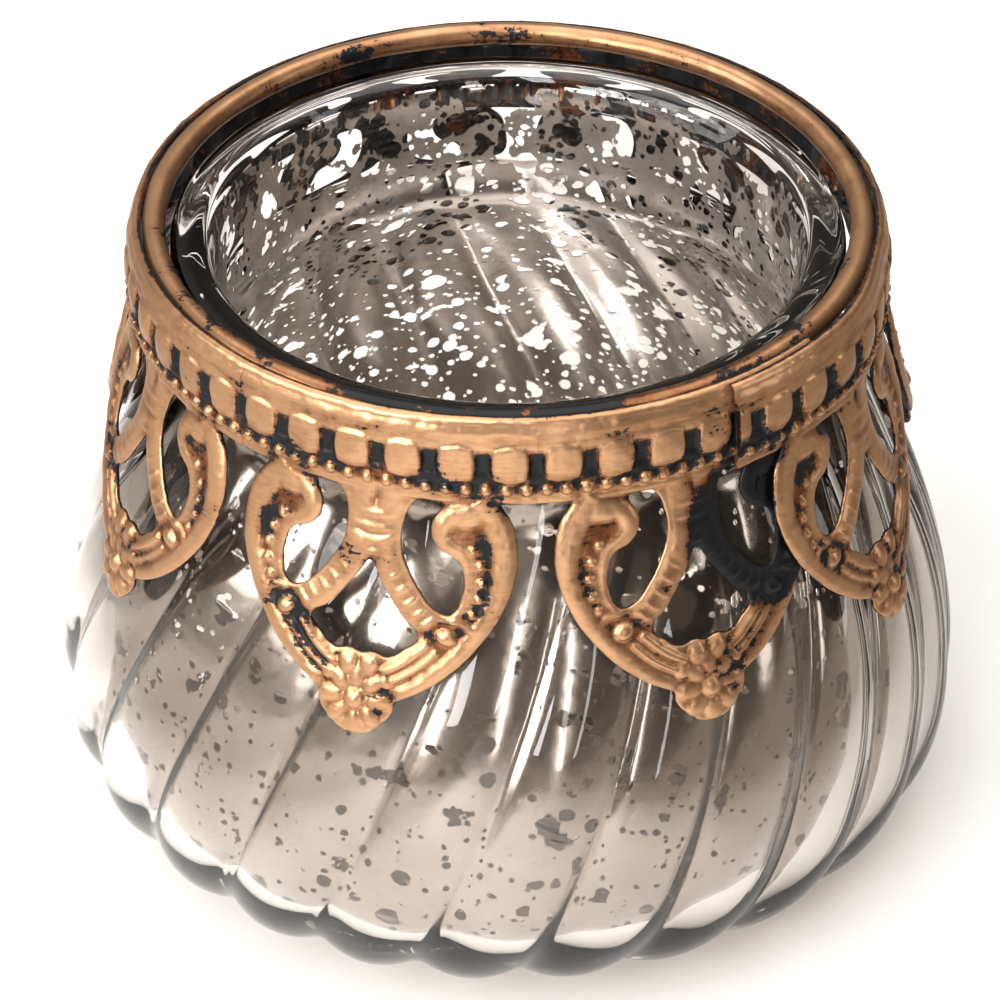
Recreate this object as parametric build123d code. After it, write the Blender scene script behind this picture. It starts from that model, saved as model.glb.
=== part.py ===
from build123d import *
import os
from math import cos, pi, radians, sin

# Tealight holder: a swirl-ribbed blown glass bowl, silvered inside, with a stamped
# metal collar of eight openwork pendants that hangs loose round its neck.
# Millimetres, +Z up, origin at the centre of the resting face.

# ---- glass bowl, measured over the crests of the ribs ----
RIBS = 24
RIB_TWIST = 28.0            # degrees that a rib turns between the base and the neck
RIB_START = -0.4            # direction of the first valley at the base, degrees from the front
RIB_DEPTH = 1.5             # crest to valley on the outside
FOOT_RADIUS = 28.3
BELLY_RADIUS = 50.0
BELLY_Z = 19.6
BELLY_ROUND = 2.16          # exponent of the rounded corner between foot and belly
SHOULDER_ROUND = 1.75       # exponent of the shoulder's curve
NECK_RADIUS = 34.8
NECK_Z = 61.5
LIP_RADIUS = 35.9
LIP_Z = 73.5

# ---- the space inside the glass ----
FLOOR_Z = 6.0
FLOOR_RADIUS = 24.0
CAVITY_RADIUS = 46.8
CAVITY_BELLY_Z = 21.0
CAVITY_RIB_DEPTH = 0.9
MOUTH_RADIUS = 31.5
MOUTH_Z = 57.5
COAT = 0.15                 # thickness that stands for the silvering
COAT_TOP_Z = 71.6

# ---- collar ----
BAND_RADIUS = 40.5          # outside
BAND_TOP_Z = 75.7
BAND_BOTTOM_Z = 65.8
SHEET = 0.5
LAP_ANGLE = 34.5            # where the outer end of the strip stops
LAP_HIDDEN_ANGLE = 50.7     # where the end beneath it stops
LAP_FLAT_ANGLE = 60.0       # the outer end runs level up to here,
LAP_JOGGLE_ANGLE = 78.0     # and has stepped down to the band by here
LAP_STEP = 0.8
PENDANT_PITCH = 46.6        # one repeat of the strip, degrees
BOSSES_PER_REPEAT = 6
BEADS_PER_REPEAT = 16
BOSS_Z = 70.2
BEAD_Z = 67.2
WIRE_RADIUS = 1.15
WIRE_RING_RADIUS = 37.75
WIRE_Z = BAND_TOP_Z - WIRE_RADIUS
TACK_ANGLES = (-152.0, 112.0, -72.0, 48.0)
TACK_LENGTH = 2.6
TACK_HEIGHT = 1.8
TACK_BITE = 0.1             # how far the solder laps into the wire's outline

# ---- pendants ----
FIRST_PENDANT = 27.4        # the last one at the covered end of the strip
PENDANTS = 8
PENDANT_PLATE = 0.5
PENDANT_RELIEF = 0.3        # raised work over the plate
ROOT_RADIUS = 39.9          # inner face at the band
TIP_RADIUS = 46.4           # inner face at the tip
TIP_Z = 38.9
FLOWER_Z = 42.2
TOP_PENDANT_LIFT = 1.35     # how far the overlapping pendant stands off its neighbour


def at(angle, radius, z=0.0):
    """A point seen from above: 0 degrees is the front (-Y), and +X is at 90 degrees."""
    return (radius * sin(radians(angle)), -radius * cos(radians(angle)), z)


def outer_crest(z):
    """Radius over the rib crests outside, at height z."""
    if z < BELLY_Z:
        down = (BELLY_Z - z) / BELLY_Z
        reach = (1 - down**BELLY_ROUND) ** (1 / BELLY_ROUND)
        return FOOT_RADIUS + (BELLY_RADIUS - FOOT_RADIUS) * reach
    up = (z - BELLY_Z) / (NECK_Z - BELLY_Z)
    return NECK_RADIUS + (BELLY_RADIUS - NECK_RADIUS) * (1 - up**SHOULDER_ROUND)


def cavity_crest(z):
    """Radius over the rib crests of the cavity, at height z."""
    if z < CAVITY_BELLY_Z:
        down = (CAVITY_BELLY_Z - z) / (CAVITY_BELLY_Z - FLOOR_Z)
        reach = (1 - down**BELLY_ROUND) ** (1 / BELLY_ROUND)
        return FLOOR_RADIUS + (CAVITY_RADIUS - FLOOR_RADIUS) * reach
    up = (z - CAVITY_BELLY_Z) / (MOUTH_Z - CAVITY_BELLY_Z)
    return MOUTH_RADIUS + (CAVITY_RADIUS - MOUTH_RADIUS) * (1 - up**SHOULDER_ROUND)


def rib_section(z, crest, depth):
    """A ring of RIBS arcs that meet in valleys, turned to suit its height."""
    pitch = 360 / RIBS
    start = RIB_START + RIB_TWIST * z / NECK_Z
    valley = crest - depth
    arcs = []
    for i in range(RIBS):
        first = start + i * pitch
        arcs.append(
            ThreePointArc(
                at(first, valley, z), at(first + pitch / 2, crest, z), at(first + pitch, valley, z)
            )
        )
    return Face(Wire(arcs))


def ribbed_solid(levels, crest_at, depth, low_fade, high_fade, inset=0.0):
    """Loft through rib sections. The ribs fade to a plain circle at both ends."""
    sections = []
    for z in levels:
        low = min(1.0, 0.15 + (z - levels[0]) / low_fade)
        high = min(1.0, (levels[-1] - z) / high_fade)
        sections.append(rib_section(z, crest_at(z) - inset, depth * low * high))
    return loft(sections)


def revolved(points):
    """Turn an outline of (radius, z) points about the axis."""
    return revolve(make_face(Plane.XZ * Polyline(*points, close=True)), Axis.Z)


def cavity_levels():
    return [FLOOR_Z, 7.2, 9.5, 13.0, 21.0, 29.0, 37.0, 45.0, 52.0, MOUTH_Z]


def glass_bowl():
    levels = [0.0, 1.0, 3.2, 7.0, 12.5, 19.6, 28.0, 36.5, 44.5, 52.0, 57.5, NECK_Z]
    body = ribbed_solid(levels, outer_crest, RIB_DEPTH, 3.5, 18.0)
    neck = revolved(
        [
            (0, NECK_Z - 2),
            (NECK_RADIUS, NECK_Z - 2),
            (NECK_RADIUS, LIP_Z - 5.5),
            (LIP_RADIUS, LIP_Z - 3.5),
            (LIP_RADIUS, LIP_Z - 0.9),
            (LIP_RADIUS - 0.9, LIP_Z),
            (LIP_RADIUS - 1.6, LIP_Z),
            (MOUTH_RADIUS + 0.6, LIP_Z - 1.0),
            (MOUTH_RADIUS, LIP_Z - 1.8),
            (0, LIP_Z - 1.8),
        ]
    )
    cavity = ribbed_solid(cavity_levels(), cavity_crest, CAVITY_RIB_DEPTH, 5.0, 16.0)
    mouth = Pos(0, 0, MOUTH_Z) * Cylinder(
        MOUTH_RADIUS, LIP_Z - MOUTH_Z, align=(Align.CENTER, Align.CENTER, Align.MIN)
    )
    return body + neck - cavity - mouth


def silver_lining():
    levels = cavity_levels()
    outside = ribbed_solid(levels, cavity_crest, CAVITY_RIB_DEPTH, 5.0, 16.0)
    inner_levels = [FLOOR_Z + COAT] + levels[1:]
    inside = ribbed_solid(
        inner_levels, lambda z: cavity_crest(max(z - COAT, FLOOR_Z)), CAVITY_RIB_DEPTH, 5.0, 16.0, COAT
    )
    height = COAT_TOP_Z - MOUTH_Z
    base = (Align.CENTER, Align.CENTER, Align.MIN)
    neck = Pos(0, 0, MOUTH_Z) * Cylinder(MOUTH_RADIUS, height, align=base)
    bore = Pos(0, 0, MOUTH_Z) * Cylinder(MOUTH_RADIUS - COAT, height, align=base)
    return (outside - inside) + (neck - bore)


def collar_arc(radius, start, end):
    """An arc on the band between two of the collar's angles."""
    return ThreePointArc(at(start, radius), at((start + end) / 2, radius), at(end, radius))


def collar_band():
    """The strip, rolled into a ring whose outer end laps over the other."""
    inner = BAND_RADIUS - SHEET
    hidden = LAP_HIDDEN_ANGLE + 360
    half = (LAP_JOGGLE_ANGLE + hidden) / 2

    def side(radius):
        level = collar_arc(radius + LAP_STEP, LAP_ANGLE, LAP_FLAT_ANGLE)
        first = collar_arc(radius, LAP_JOGGLE_ANGLE, half)
        second = collar_arc(radius, half, hidden)
        joggle = Spline(level @ 1, first @ 0, tangents=(level % 1, first % 0))
        return [level, joggle, first, second]

    outer_side, inner_side = side(BAND_RADIUS), side(inner)
    ends = [
        Line(outer_side[0] @ 0, inner_side[0] @ 0),
        Line(outer_side[-1] @ 1, inner_side[-1] @ 1),
    ]
    ring = extrude(make_face(outer_side + inner_side + ends), BAND_TOP_Z - BAND_BOTTOM_Z)
    ring = Pos(0, 0, BAND_BOTTOM_Z) * ring

    def band_surface(angle):
        if angle < LAP_FLAT_ANGLE:
            return BAND_RADIUS + LAP_STEP
        fall = min(1.0, (angle - LAP_FLAT_ANGLE) / (LAP_JOGGLE_ANGLE - LAP_FLAT_ANGLE))
        return BAND_RADIUS + LAP_STEP * (1 + cos(pi * fall)) / 2

    raised = []
    for count, z, ball, proud in (
        (BOSSES_PER_REPEAT, BOSS_Z, 3.6, 0.45),
        (BEADS_PER_REPEAT, BEAD_Z, 0.75, 0.4),
    ):
        pitch = PENDANT_PITCH / count
        for i in range(int((360 - 4) / pitch)):
            angle = LAP_ANGLE + 2 + (i + 0.5) * pitch
            raised.append(Pos(*at(angle, band_surface(angle) + proud - ball, z)) * Sphere(ball))
    tube = extrude(Circle(BAND_RADIUS + 3) - Circle(BAND_RADIUS - SHEET / 2), BAND_TOP_Z)
    return ring + [ball & tube for ball in raised]


def rim_wire():
    return Pos(0, 0, WIRE_Z) * Torus(WIRE_RING_RADIUS, WIRE_RADIUS)


def solder_tacks():
    """Fillings of solder in the gap between the wire ring and the band."""
    gap = Circle(BAND_RADIUS - SHEET) - Circle(WIRE_RING_RADIUS + WIRE_RADIUS - TACK_BITE)
    tacks = []
    for angle in TACK_ANGLES:
        window = Pos(*at(angle, BAND_RADIUS)) * Rot(0, 0, angle) * Rectangle(TACK_LENGTH, 5)
        tacks.append(Pos(0, 0, WIRE_Z - TACK_HEIGHT / 2) * extrude(gap & window, TACK_HEIGHT))
    return Compound(tacks)


def cone_shell(first, last):
    """Part of the pendants' sloping layer, between two heights over its inner face."""
    slope = (TIP_RADIUS - ROOT_RADIUS) / (BAND_BOTTOM_Z - TIP_Z)
    low = TIP_Z - 3
    low_radius = TIP_RADIUS + 3 * slope
    return revolved(
        [
            (low_radius + first, low),
            (low_radius + last, low),
            (ROOT_RADIUS + last, BAND_BOTTOM_Z),
            (ROOT_RADIUS + first, BAND_BOTTOM_Z),
        ]
    )


def mirrored(points):
    """Continue a right-hand outline with its mirror image, back to the start."""
    return points + [(-x, z) for x, z in reversed(points) if x != 0]


def flat(points):
    """A closed smooth face in the pendant's own (across, up) plane."""
    return make_face(Spline(*points, periodic=True))


def both_sides(face):
    return face + mirror(face, Plane.YZ)


def pendant_plate():
    """The pendant's silhouette with its three holes."""
    edge = [
        (12.2, 65.9), (13.7, 64.4), (14.9, 61.4), (15.1, 57.8), (14.2, 53.8),
        (12.3, 50.1), (9.6, 46.9), (6.6, 44.5), (3.6, 42.8), (0, 41.6),
    ]
    right = Spline(*edge)
    left = Spline(*[(-x, z) for x, z in edge])
    body = make_face([right, left, Line((12.2, 65.9), (-12.2, 65.9))])
    for turn in range(6):
        body += Pos(*lobe(turn)) * Circle(1.5)
    side_hole = flat(
        [
            (3.8, 66.6), (3.1, 63.3), (3.3, 60.2), (4.3, 57.6), (6.3, 54.7), (8.6, 53.4),
            (10.1, 54.9), (10.4, 57.6), (9.4, 59.8), (7.4, 61.3), (6.3, 63.4), (6.8, 66.6),
        ]
    )
    heart = flat(
        mirrored([(0, 58.3), (1.5, 57.0), (3.0, 53.9), (5.8, 51.2), (4.7, 49.2), (2.6, 48.1), (0, 48.5)])
    )
    return body - both_sides(side_hole) - heart


def lobe(turn):
    """Centre of one petal of the flower at the tip."""
    angle = radians(60 * turn - 90)
    return (2.5 * cos(angle), FLOWER_Z + 2.5 * sin(angle))


def pendant_recesses():
    """The sunk channel of the scroll, the hollow round its boss and the grooves below."""
    channel = flat(
        [
            (7.6, 61.9), (9.6, 61.8), (11.3, 60.0), (12.3, 57.3), (12.2, 54.4), (11.2, 53.4),
            (11.2, 55.6), (10.9, 58.2), (9.6, 60.2), (8.0, 61.0),
        ]
    )
    hollow = flat([(10.9, 51.0), (9.4, 53.0), (7.1, 52.6), (7.0, 51.1), (8.6, 49.7)])
    grooves = Sketch()
    for shift in (-0.7, 0.7):
        grooves += Pos(6.6, 47.6 + shift) * Rot(0, 0, 40) * SlotOverall(4.2, 0.5)
    return both_sides(channel + hollow + grooves)


def upright(face):
    """Stand a flat (across, up) face in front of the axis and run it outwards."""
    return extrude(Plane.XZ.offset(20) * face, 50)


def pendant_blank():
    """One pendant at the front, bent to the sloping layer."""
    plate = upright(pendant_plate())
    full = PENDANT_PLATE + PENDANT_RELIEF
    body = (plate & cone_shell(0, full)) - (upright(pendant_recesses()) & cone_shell(PENDANT_PLATE, full + 1))
    slope = (TIP_RADIUS - ROOT_RADIUS) / (BAND_BOTTOM_Z - TIP_Z)
    bosses = [(9.0, 51.2, 1.1), (-9.0, 51.2, 1.1), (0, FLOWER_Z, 1.5)]
    for side in (1, -1):
        for x, z in ((10.8, 60.3), (11.5, 58.6), (11.8, 56.7), (11.7, 54.9)):
            bosses.append((side * x, z, 0.5))
    for x, z, size in bosses:
        radius = ROOT_RADIUS + slope * (BAND_BOTTOM_Z - z) + PENDANT_PLATE
        depth = (radius**2 - x**2) ** 0.5
        body += Pos(x, -depth, z) * Sphere(size) & cone_shell(0, full + 0.4)
    return body


def pendants():
    blank = pendant_blank()
    placed = []
    for i in range(PENDANTS):
        piece = Rot(0, 0, FIRST_PENDANT - i * PENDANT_PITCH) * blank
        placed.append(piece)
    # The far end of the strip laps over the first pendant, so its pendant stands proud.
    placed[-1] = Pos(*at(LAP_HIDDEN_ANGLE - 5, TOP_PENDANT_LIFT)) * placed[-1]
    return placed


def main():
    os.makedirs("parts", exist_ok=True)
    shapes = {
        "glass_bowl": glass_bowl(),
        "silver_lining": silver_lining(),
        "collar_band": collar_band(),
        "rim_wire": rim_wire(),
        "solder_tacks": solder_tacks(),
    }
    for number, piece in enumerate(pendants(), 1):
        shapes[f"pendant_{number}"] = piece
    for name, shape in shapes.items():
        export_step(shape, f"parts/{name}.step")


main()
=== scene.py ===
"""A silvered, swirl-ribbed glass tealight holder with a loose stamped collar."""
from math import cos, radians, sin

import bpy
import numpy as np
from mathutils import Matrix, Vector


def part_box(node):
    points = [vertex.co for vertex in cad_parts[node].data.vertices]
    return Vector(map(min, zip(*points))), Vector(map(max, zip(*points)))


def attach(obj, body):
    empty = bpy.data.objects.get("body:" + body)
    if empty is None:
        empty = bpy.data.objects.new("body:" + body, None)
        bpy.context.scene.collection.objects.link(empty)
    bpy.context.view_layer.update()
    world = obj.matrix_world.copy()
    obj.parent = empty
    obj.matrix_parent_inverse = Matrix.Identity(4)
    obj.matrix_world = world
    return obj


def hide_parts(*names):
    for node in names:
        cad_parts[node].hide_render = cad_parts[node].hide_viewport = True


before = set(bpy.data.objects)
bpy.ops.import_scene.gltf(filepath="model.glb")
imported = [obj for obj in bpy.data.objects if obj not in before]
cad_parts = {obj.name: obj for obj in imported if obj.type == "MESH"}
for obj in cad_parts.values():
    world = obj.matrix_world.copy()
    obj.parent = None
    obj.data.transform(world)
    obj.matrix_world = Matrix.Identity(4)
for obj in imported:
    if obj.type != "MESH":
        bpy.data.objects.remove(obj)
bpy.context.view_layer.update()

bl_info = {
    "name": "Silvered tealight holder",
    "version": (1, 0, 0),
    "blender": (4, 5, 0),
    "location": "3D View > Sidebar > Tealight",
    "description": "Builds a swirl-ribbed silvered glass bowl with a stamped copper collar",
    "category": "Object",
}

MM = 0.001
BOWL, BAND, WIRE = (np.array(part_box(n)) / MM for n in ("glass_bowl", "collar_band", "rim_wire"))

# ---- glass, in millimetres, as the frame has it ----
RIBS = 24
SPOKES_PER_RIB = 8
BELLY_RADIUS = 50.0
BELLY_Z = 19.6
FOOT_RADIUS = 28.3
BELLY_ROUND = 2.16
CAVITY_ROUND = 2.9
SHOULDER_ROUND = 1.75
NECK_RADIUS = 34.8
NECK_Z = 61.5
LIP_RADIUS = 36.25
LIP_Z = float(BOWL[1][2])
RIB_TWIST = 28.0
RIB_START = -0.4
FLOOR_Z = 6.0
FLOOR_RADIUS = 24.0
FLOOR_SHARES = (0.75, 0.46, 0.18, 0.05)  # rings on the floor, as shares of its radius
CAVITY_RADIUS = 46.8
CAVITY_BELLY_Z = 21.0
MOUTH_RADIUS = 31.5
MOUTH_Z = 57.5

# ---- collar ----
BAND_TOP_Z = float(BAND[1][2])
BAND_BOTTOM_Z = float(BAND[0][2])
BAND_INSIDE = 39.95
PENDANT_PITCH = 46.6
FIRST_PENDANT = 27.4
PENDANTS = 8
REPEAT = radians(PENDANT_PITCH) * (BAND_INSIDE + 0.5)
TIP_RADIUS = 46.4
TIP_Z = 38.9
PLATE = 0.45
SUNK = 0.15  # how far the relief starts below the sheet's face
LAP_END_ANGLE = 34.5
LAP_FLAT_ANGLE = 60.0
LAP_JOGGLE_ANGLE = 80.0
LAP_STEP = 0.95
TOP_ROLL = 0.75  # how far the strip's top edge is rolled in,
TOP_ROLL_HEIGHT = 2.4  # over this height
PILLOWS, PILLOW_Z = 6, 70.5
BEADS, BEAD_Z = 16, 67.45
FLOWER_Z = 43.0
CLOTH_CELL = 0.25  # the grid on which the rubbing cloth is laid over the relief,
CLOTH_REACH = 6  # and how many of its cells the cloth bridges
NOTHING = -3.0  # the height of an empty cell
WIRE_TILT = 0.45
TACK_ANGLES = (-152.0, 112.0, -72.0, 48.0)
TACK_RADIUS = 39.3
TACK_Z = 74.2

# ---- stage, in metres ----
LIT_POINT = (0, 0, 0.04)


def linear(hex_colour):
    """An sRGB hex value as linear red, green, blue and alpha."""
    values = [int(hex_colour[i : i + 2], 16) / 255 for i in (1, 3, 5)]
    return (*[v / 12.92 if v <= 0.04045 else ((v + 0.055) / 1.055) ** 2.4 for v in values], 1.0)


class HolderSizes(bpy.types.PropertyGroup):
    rib_depth: bpy.props.FloatProperty(
        name="Rib depth", description="Crest to valley on the outside of the glass",
        default=1.6 * MM, unit="LENGTH",
    )
    cavity_rib_depth: bpy.props.FloatProperty(
        name="Inner rib depth", description="Crest to valley inside the glass",
        default=1.1 * MM, unit="LENGTH",
    )
    coat_gap: bpy.props.FloatProperty(
        name="Coat gap", description="Clearance between the glass and its silvering",
        default=0.04 * MM, unit="LENGTH",
    )
    stamping_grid: bpy.props.FloatProperty(
        name="Stamping grid", description="Size of the cells that weld the stamped relief",
        default=0.17 * MM, unit="LENGTH",
    )


class HolderColours(bpy.types.PropertyGroup):
    glass: bpy.props.FloatVectorProperty(
        name="Glass", description="Tint of the clear glass", subtype="COLOR", size=4,
        default=linear("#f6f2ee"),
    )
    silver: bpy.props.FloatVectorProperty(
        name="Silver", description="The mirror coat", subtype="COLOR", size=4,
        default=linear("#cdc8c3"),
    )
    copper: bpy.props.FloatVectorProperty(
        name="Copper", description="Copper-gold rubbed over the raised work", subtype="COLOR",
        size=4, default=linear("#c79a73"),
    )
    worn_copper: bpy.props.FloatVectorProperty(
        name="Thin copper", description="Copper where the paste is thin, beside the hollows",
        subtype="COLOR", size=4, default=linear("#7c4c2e"),
    )
    lacquer: bpy.props.FloatVectorProperty(
        name="Lacquer", description="Black paint left in the hollows", subtype="COLOR", size=4,
        default=linear("#0b0c0f"),
    )
    floor: bpy.props.FloatVectorProperty(
        name="Floor", description="The paper it stands on", subtype="COLOR", size=4,
        default=linear("#f4f3f1"),
    )


def sizes():
    return bpy.context.scene.holder_sizes


def colours():
    return bpy.context.scene.holder_colours


# ---------------------------------------------------------------- materials


def add(tree, kind, inputs=None, **settings):
    """Add a node with its settings, and set or link its inputs."""
    node = tree.nodes.new(kind)
    for name, value in settings.items():
        setattr(node, name, value)
    for key, value in (inputs or {}).items():
        if isinstance(value, bpy.types.NodeSocket):
            tree.links.new(value, node.inputs[key])
        else:
            node.inputs[key].default_value = value
    return node


def new_material(name):
    """An empty node material: its tree and the place where its pattern is read."""
    material = bpy.data.materials.new(name)
    material.use_nodes = True
    tree = material.node_tree
    tree.nodes.clear()
    place = add(tree, "ShaderNodeTexCoord").outputs["Object"]
    return material, tree, place


def clear_blown_glass():
    """Soda-lime glass blown in a ribbed mould: a slow waver in its skin bends what it shows."""
    material, tree, place = new_material("clear soda-lime glass, mould-blown")
    waver = add(
        tree, "ShaderNodeTexNoise", {"Vector": place, "Scale": 1 / (11 * MM), "Detail": 1.5}
    )
    bump = add(
        tree, "ShaderNodeBump",
        {"Height": waver.outputs["Fac"], "Strength": 0.35, "Distance": 0.35 * MM},
    )
    glass = add(
        tree,
        "ShaderNodeBsdfPrincipled",
        {
            "Base Color": colours().glass,
            "Roughness": 0.012,
            "IOR": 1.5,
            "Transmission Weight": 1.0,
            "Normal": bump.outputs["Normal"],
        },
    )
    # Light reaches the silver and the floor through it, as it does in life.
    ray = add(tree, "ShaderNodeLightPath")
    lighting = add(
        tree, "ShaderNodeMath", {0: ray.outputs["Is Shadow Ray"], 1: ray.outputs["Is Diffuse Ray"]},
        operation="MAXIMUM",
    )
    let_through = add(tree, "ShaderNodeBsdfTransparent", {"Color": colours().glass})
    clear = add(
        tree,
        "ShaderNodeMixShader",
        {0: lighting.outputs["Value"], 1: glass.outputs["BSDF"], 2: let_through.outputs["BSDF"]},
    )
    add(tree, "ShaderNodeOutputMaterial", {"Surface": clear.outputs["Shader"]})
    return material


def specks(tree, place, cell_mm, radius_mm, bare_below, edge_mm=0.1):
    """Round specks, at most one to a cell: 1 inside a speck, 0 outside.

    A cell's chance runs from 0 to 1, and it has a speck only above bare_below, which may be linked.
    """
    cells = add(tree, "ShaderNodeTexVoronoi", {"Vector": place, "Scale": 1 / (cell_mm * MM)})
    chance = add(tree, "ShaderNodeSeparateColor", {"Color": cells.outputs["Color"]})
    radius = add(
        tree,
        "ShaderNodeMapRange",
        {
            "Value": chance.outputs["Red"],
            "From Min": bare_below,
            "From Max": 1.0,
            "To Min": -edge_mm / cell_mm,
            "To Max": radius_mm / cell_mm,
        },
    )
    beyond = add(
        tree, "ShaderNodeMath", {0: cells.outputs["Distance"], 1: radius.outputs["Result"]},
        operation="SUBTRACT",
    )
    inside = add(
        tree,
        "ShaderNodeMapRange",
        {
            "Value": beyond.outputs["Value"],
            "From Min": 0.0,
            "From Max": edge_mm / cell_mm,
            "To Min": 1.0,
            "To Max": 0.0,
        },
    )
    return inside.outputs["Result"]


def worn_silvering(name, tint, cloudy_tint, metallic, roughness):
    """Wet-silvered mirror coat, spotted by acid.

    Specks let light through, and the neck is half bare.
    """
    material, tree, place = new_material(name)
    drift = add(
        tree, "ShaderNodeTexNoise", {"Vector": place, "Scale": 1 / (1.6 * MM), "Detail": 2.0}
    )
    wander = add(
        tree,
        "ShaderNodeMix",
        {"Factor": 0.7 * MM, 4: place, 5: drift.outputs["Color"]},
        data_type="VECTOR",
    )
    spot = wander.outputs[1]
    split = add(tree, "ShaderNodeSeparateXYZ", {"Vector": place})
    # Layers of specks, each from sparse to crowded along an axis: the acid stood longest against
    # the back wall and round the neck.
    holes = 0.0
    for cell_mm, radius_mm, axis, start_mm, end_mm, sparse, crowded in (
        (4.0, 1.6, "Y", -5, 22, 0.94, 0.3), (2.1, 0.95, "Y", -5, 22, 0.72, 0.1),
        (1.05, 0.42, "Y", -5, 22, 0.48, 0.1), (2.6, 1.5, "Z", 55, 71, 1.0, 0.2),
        (1.3, 0.72, "Z", 52, 70, 1.0, 0.15),
    ):
        bare_below = add(
            tree, "ShaderNodeMapRange",
            {
                "Value": split.outputs[axis], "From Min": start_mm * MM, "From Max": end_mm * MM,
                "To Min": sparse, "To Max": crowded,
            },
        )
        more = specks(tree, spot, cell_mm, radius_mm, bare_below.outputs["Result"])
        holes = add(
            tree, "ShaderNodeMath", {0: holes, 1: more}, operation="MAXIMUM", use_clamp=True
        ).outputs["Value"]
    # Bare patches round the top of the neck.
    blotch = add(
        tree, "ShaderNodeTexNoise",
        {"Vector": place, "Scale": 1 / (3.4 * MM), "Detail": 3.0, "Roughness": 0.5},
    )
    up_the_neck = add(
        tree, "ShaderNodeMapRange",
        {
            "Value": split.outputs["Z"], "From Min": 60 * MM, "From Max": 71.5 * MM,
            "To Min": 0.0, "To Max": 0.16,
        },
    )
    blotch_up = add(
        tree, "ShaderNodeMath", {0: blotch.outputs["Fac"], 1: up_the_neck.outputs["Result"]},
        operation="ADD",
    )
    bare = add(
        tree,
        "ShaderNodeMapRange",
        {"Value": blotch_up.outputs["Value"], "From Min": 0.635, "From Max": 0.655},
    )
    holes = add(
        tree, "ShaderNodeMath", {0: holes, 1: bare.outputs["Result"]},
        operation="MAXIMUM", use_clamp=True,
    )
    kept = add(tree, "ShaderNodeMath", {0: 1.0, 1: holes.outputs["Value"]}, operation="SUBTRACT")
    cloud = add(tree, "ShaderNodeTexNoise", {"Vector": place, "Scale": 1 / (9 * MM), "Detail": 3.0})
    tone = add(
        tree, "ShaderNodeMix", {"Factor": cloud.outputs["Fac"], 6: tint, 7: cloudy_tint},
        data_type="RGBA",
    )
    ripple = add(
        tree, "ShaderNodeTexNoise", {"Vector": place, "Scale": 1 / (5 * MM), "Detail": 2.0}
    )
    bump = add(
        tree, "ShaderNodeBump",
        {"Height": ripple.outputs["Fac"], "Strength": 0.4, "Distance": 0.25 * MM},
    )
    silver = add(
        tree,
        "ShaderNodeBsdfPrincipled",
        {
            "Base Color": tone.outputs[2],
            "Metallic": metallic,
            "Roughness": roughness,
            "Alpha": kept.outputs["Value"],
            "Normal": bump.outputs["Normal"],
        },
    )
    add(tree, "ShaderNodeOutputMaterial", {"Surface": silver.outputs["BSDF"]})
    return material


def silvering_seen_through_glass():
    """The coat's polished side, laid on the glass: a clean mirror."""
    return worn_silvering(
        "antiqued mirror silvering, acid-spotted", colours().silver, linear("#a79e96"), 0.93, 0.17
    )


def silvering_seen_inside():
    """The coat's open side, under a sprayed sealer: paler and more clouded than the mirror."""
    return worn_silvering(
        "mirror silvering, sealed side", linear("#e9e5e1"), linear("#bdb3aa"), 0.92, 0.17
    )


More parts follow.
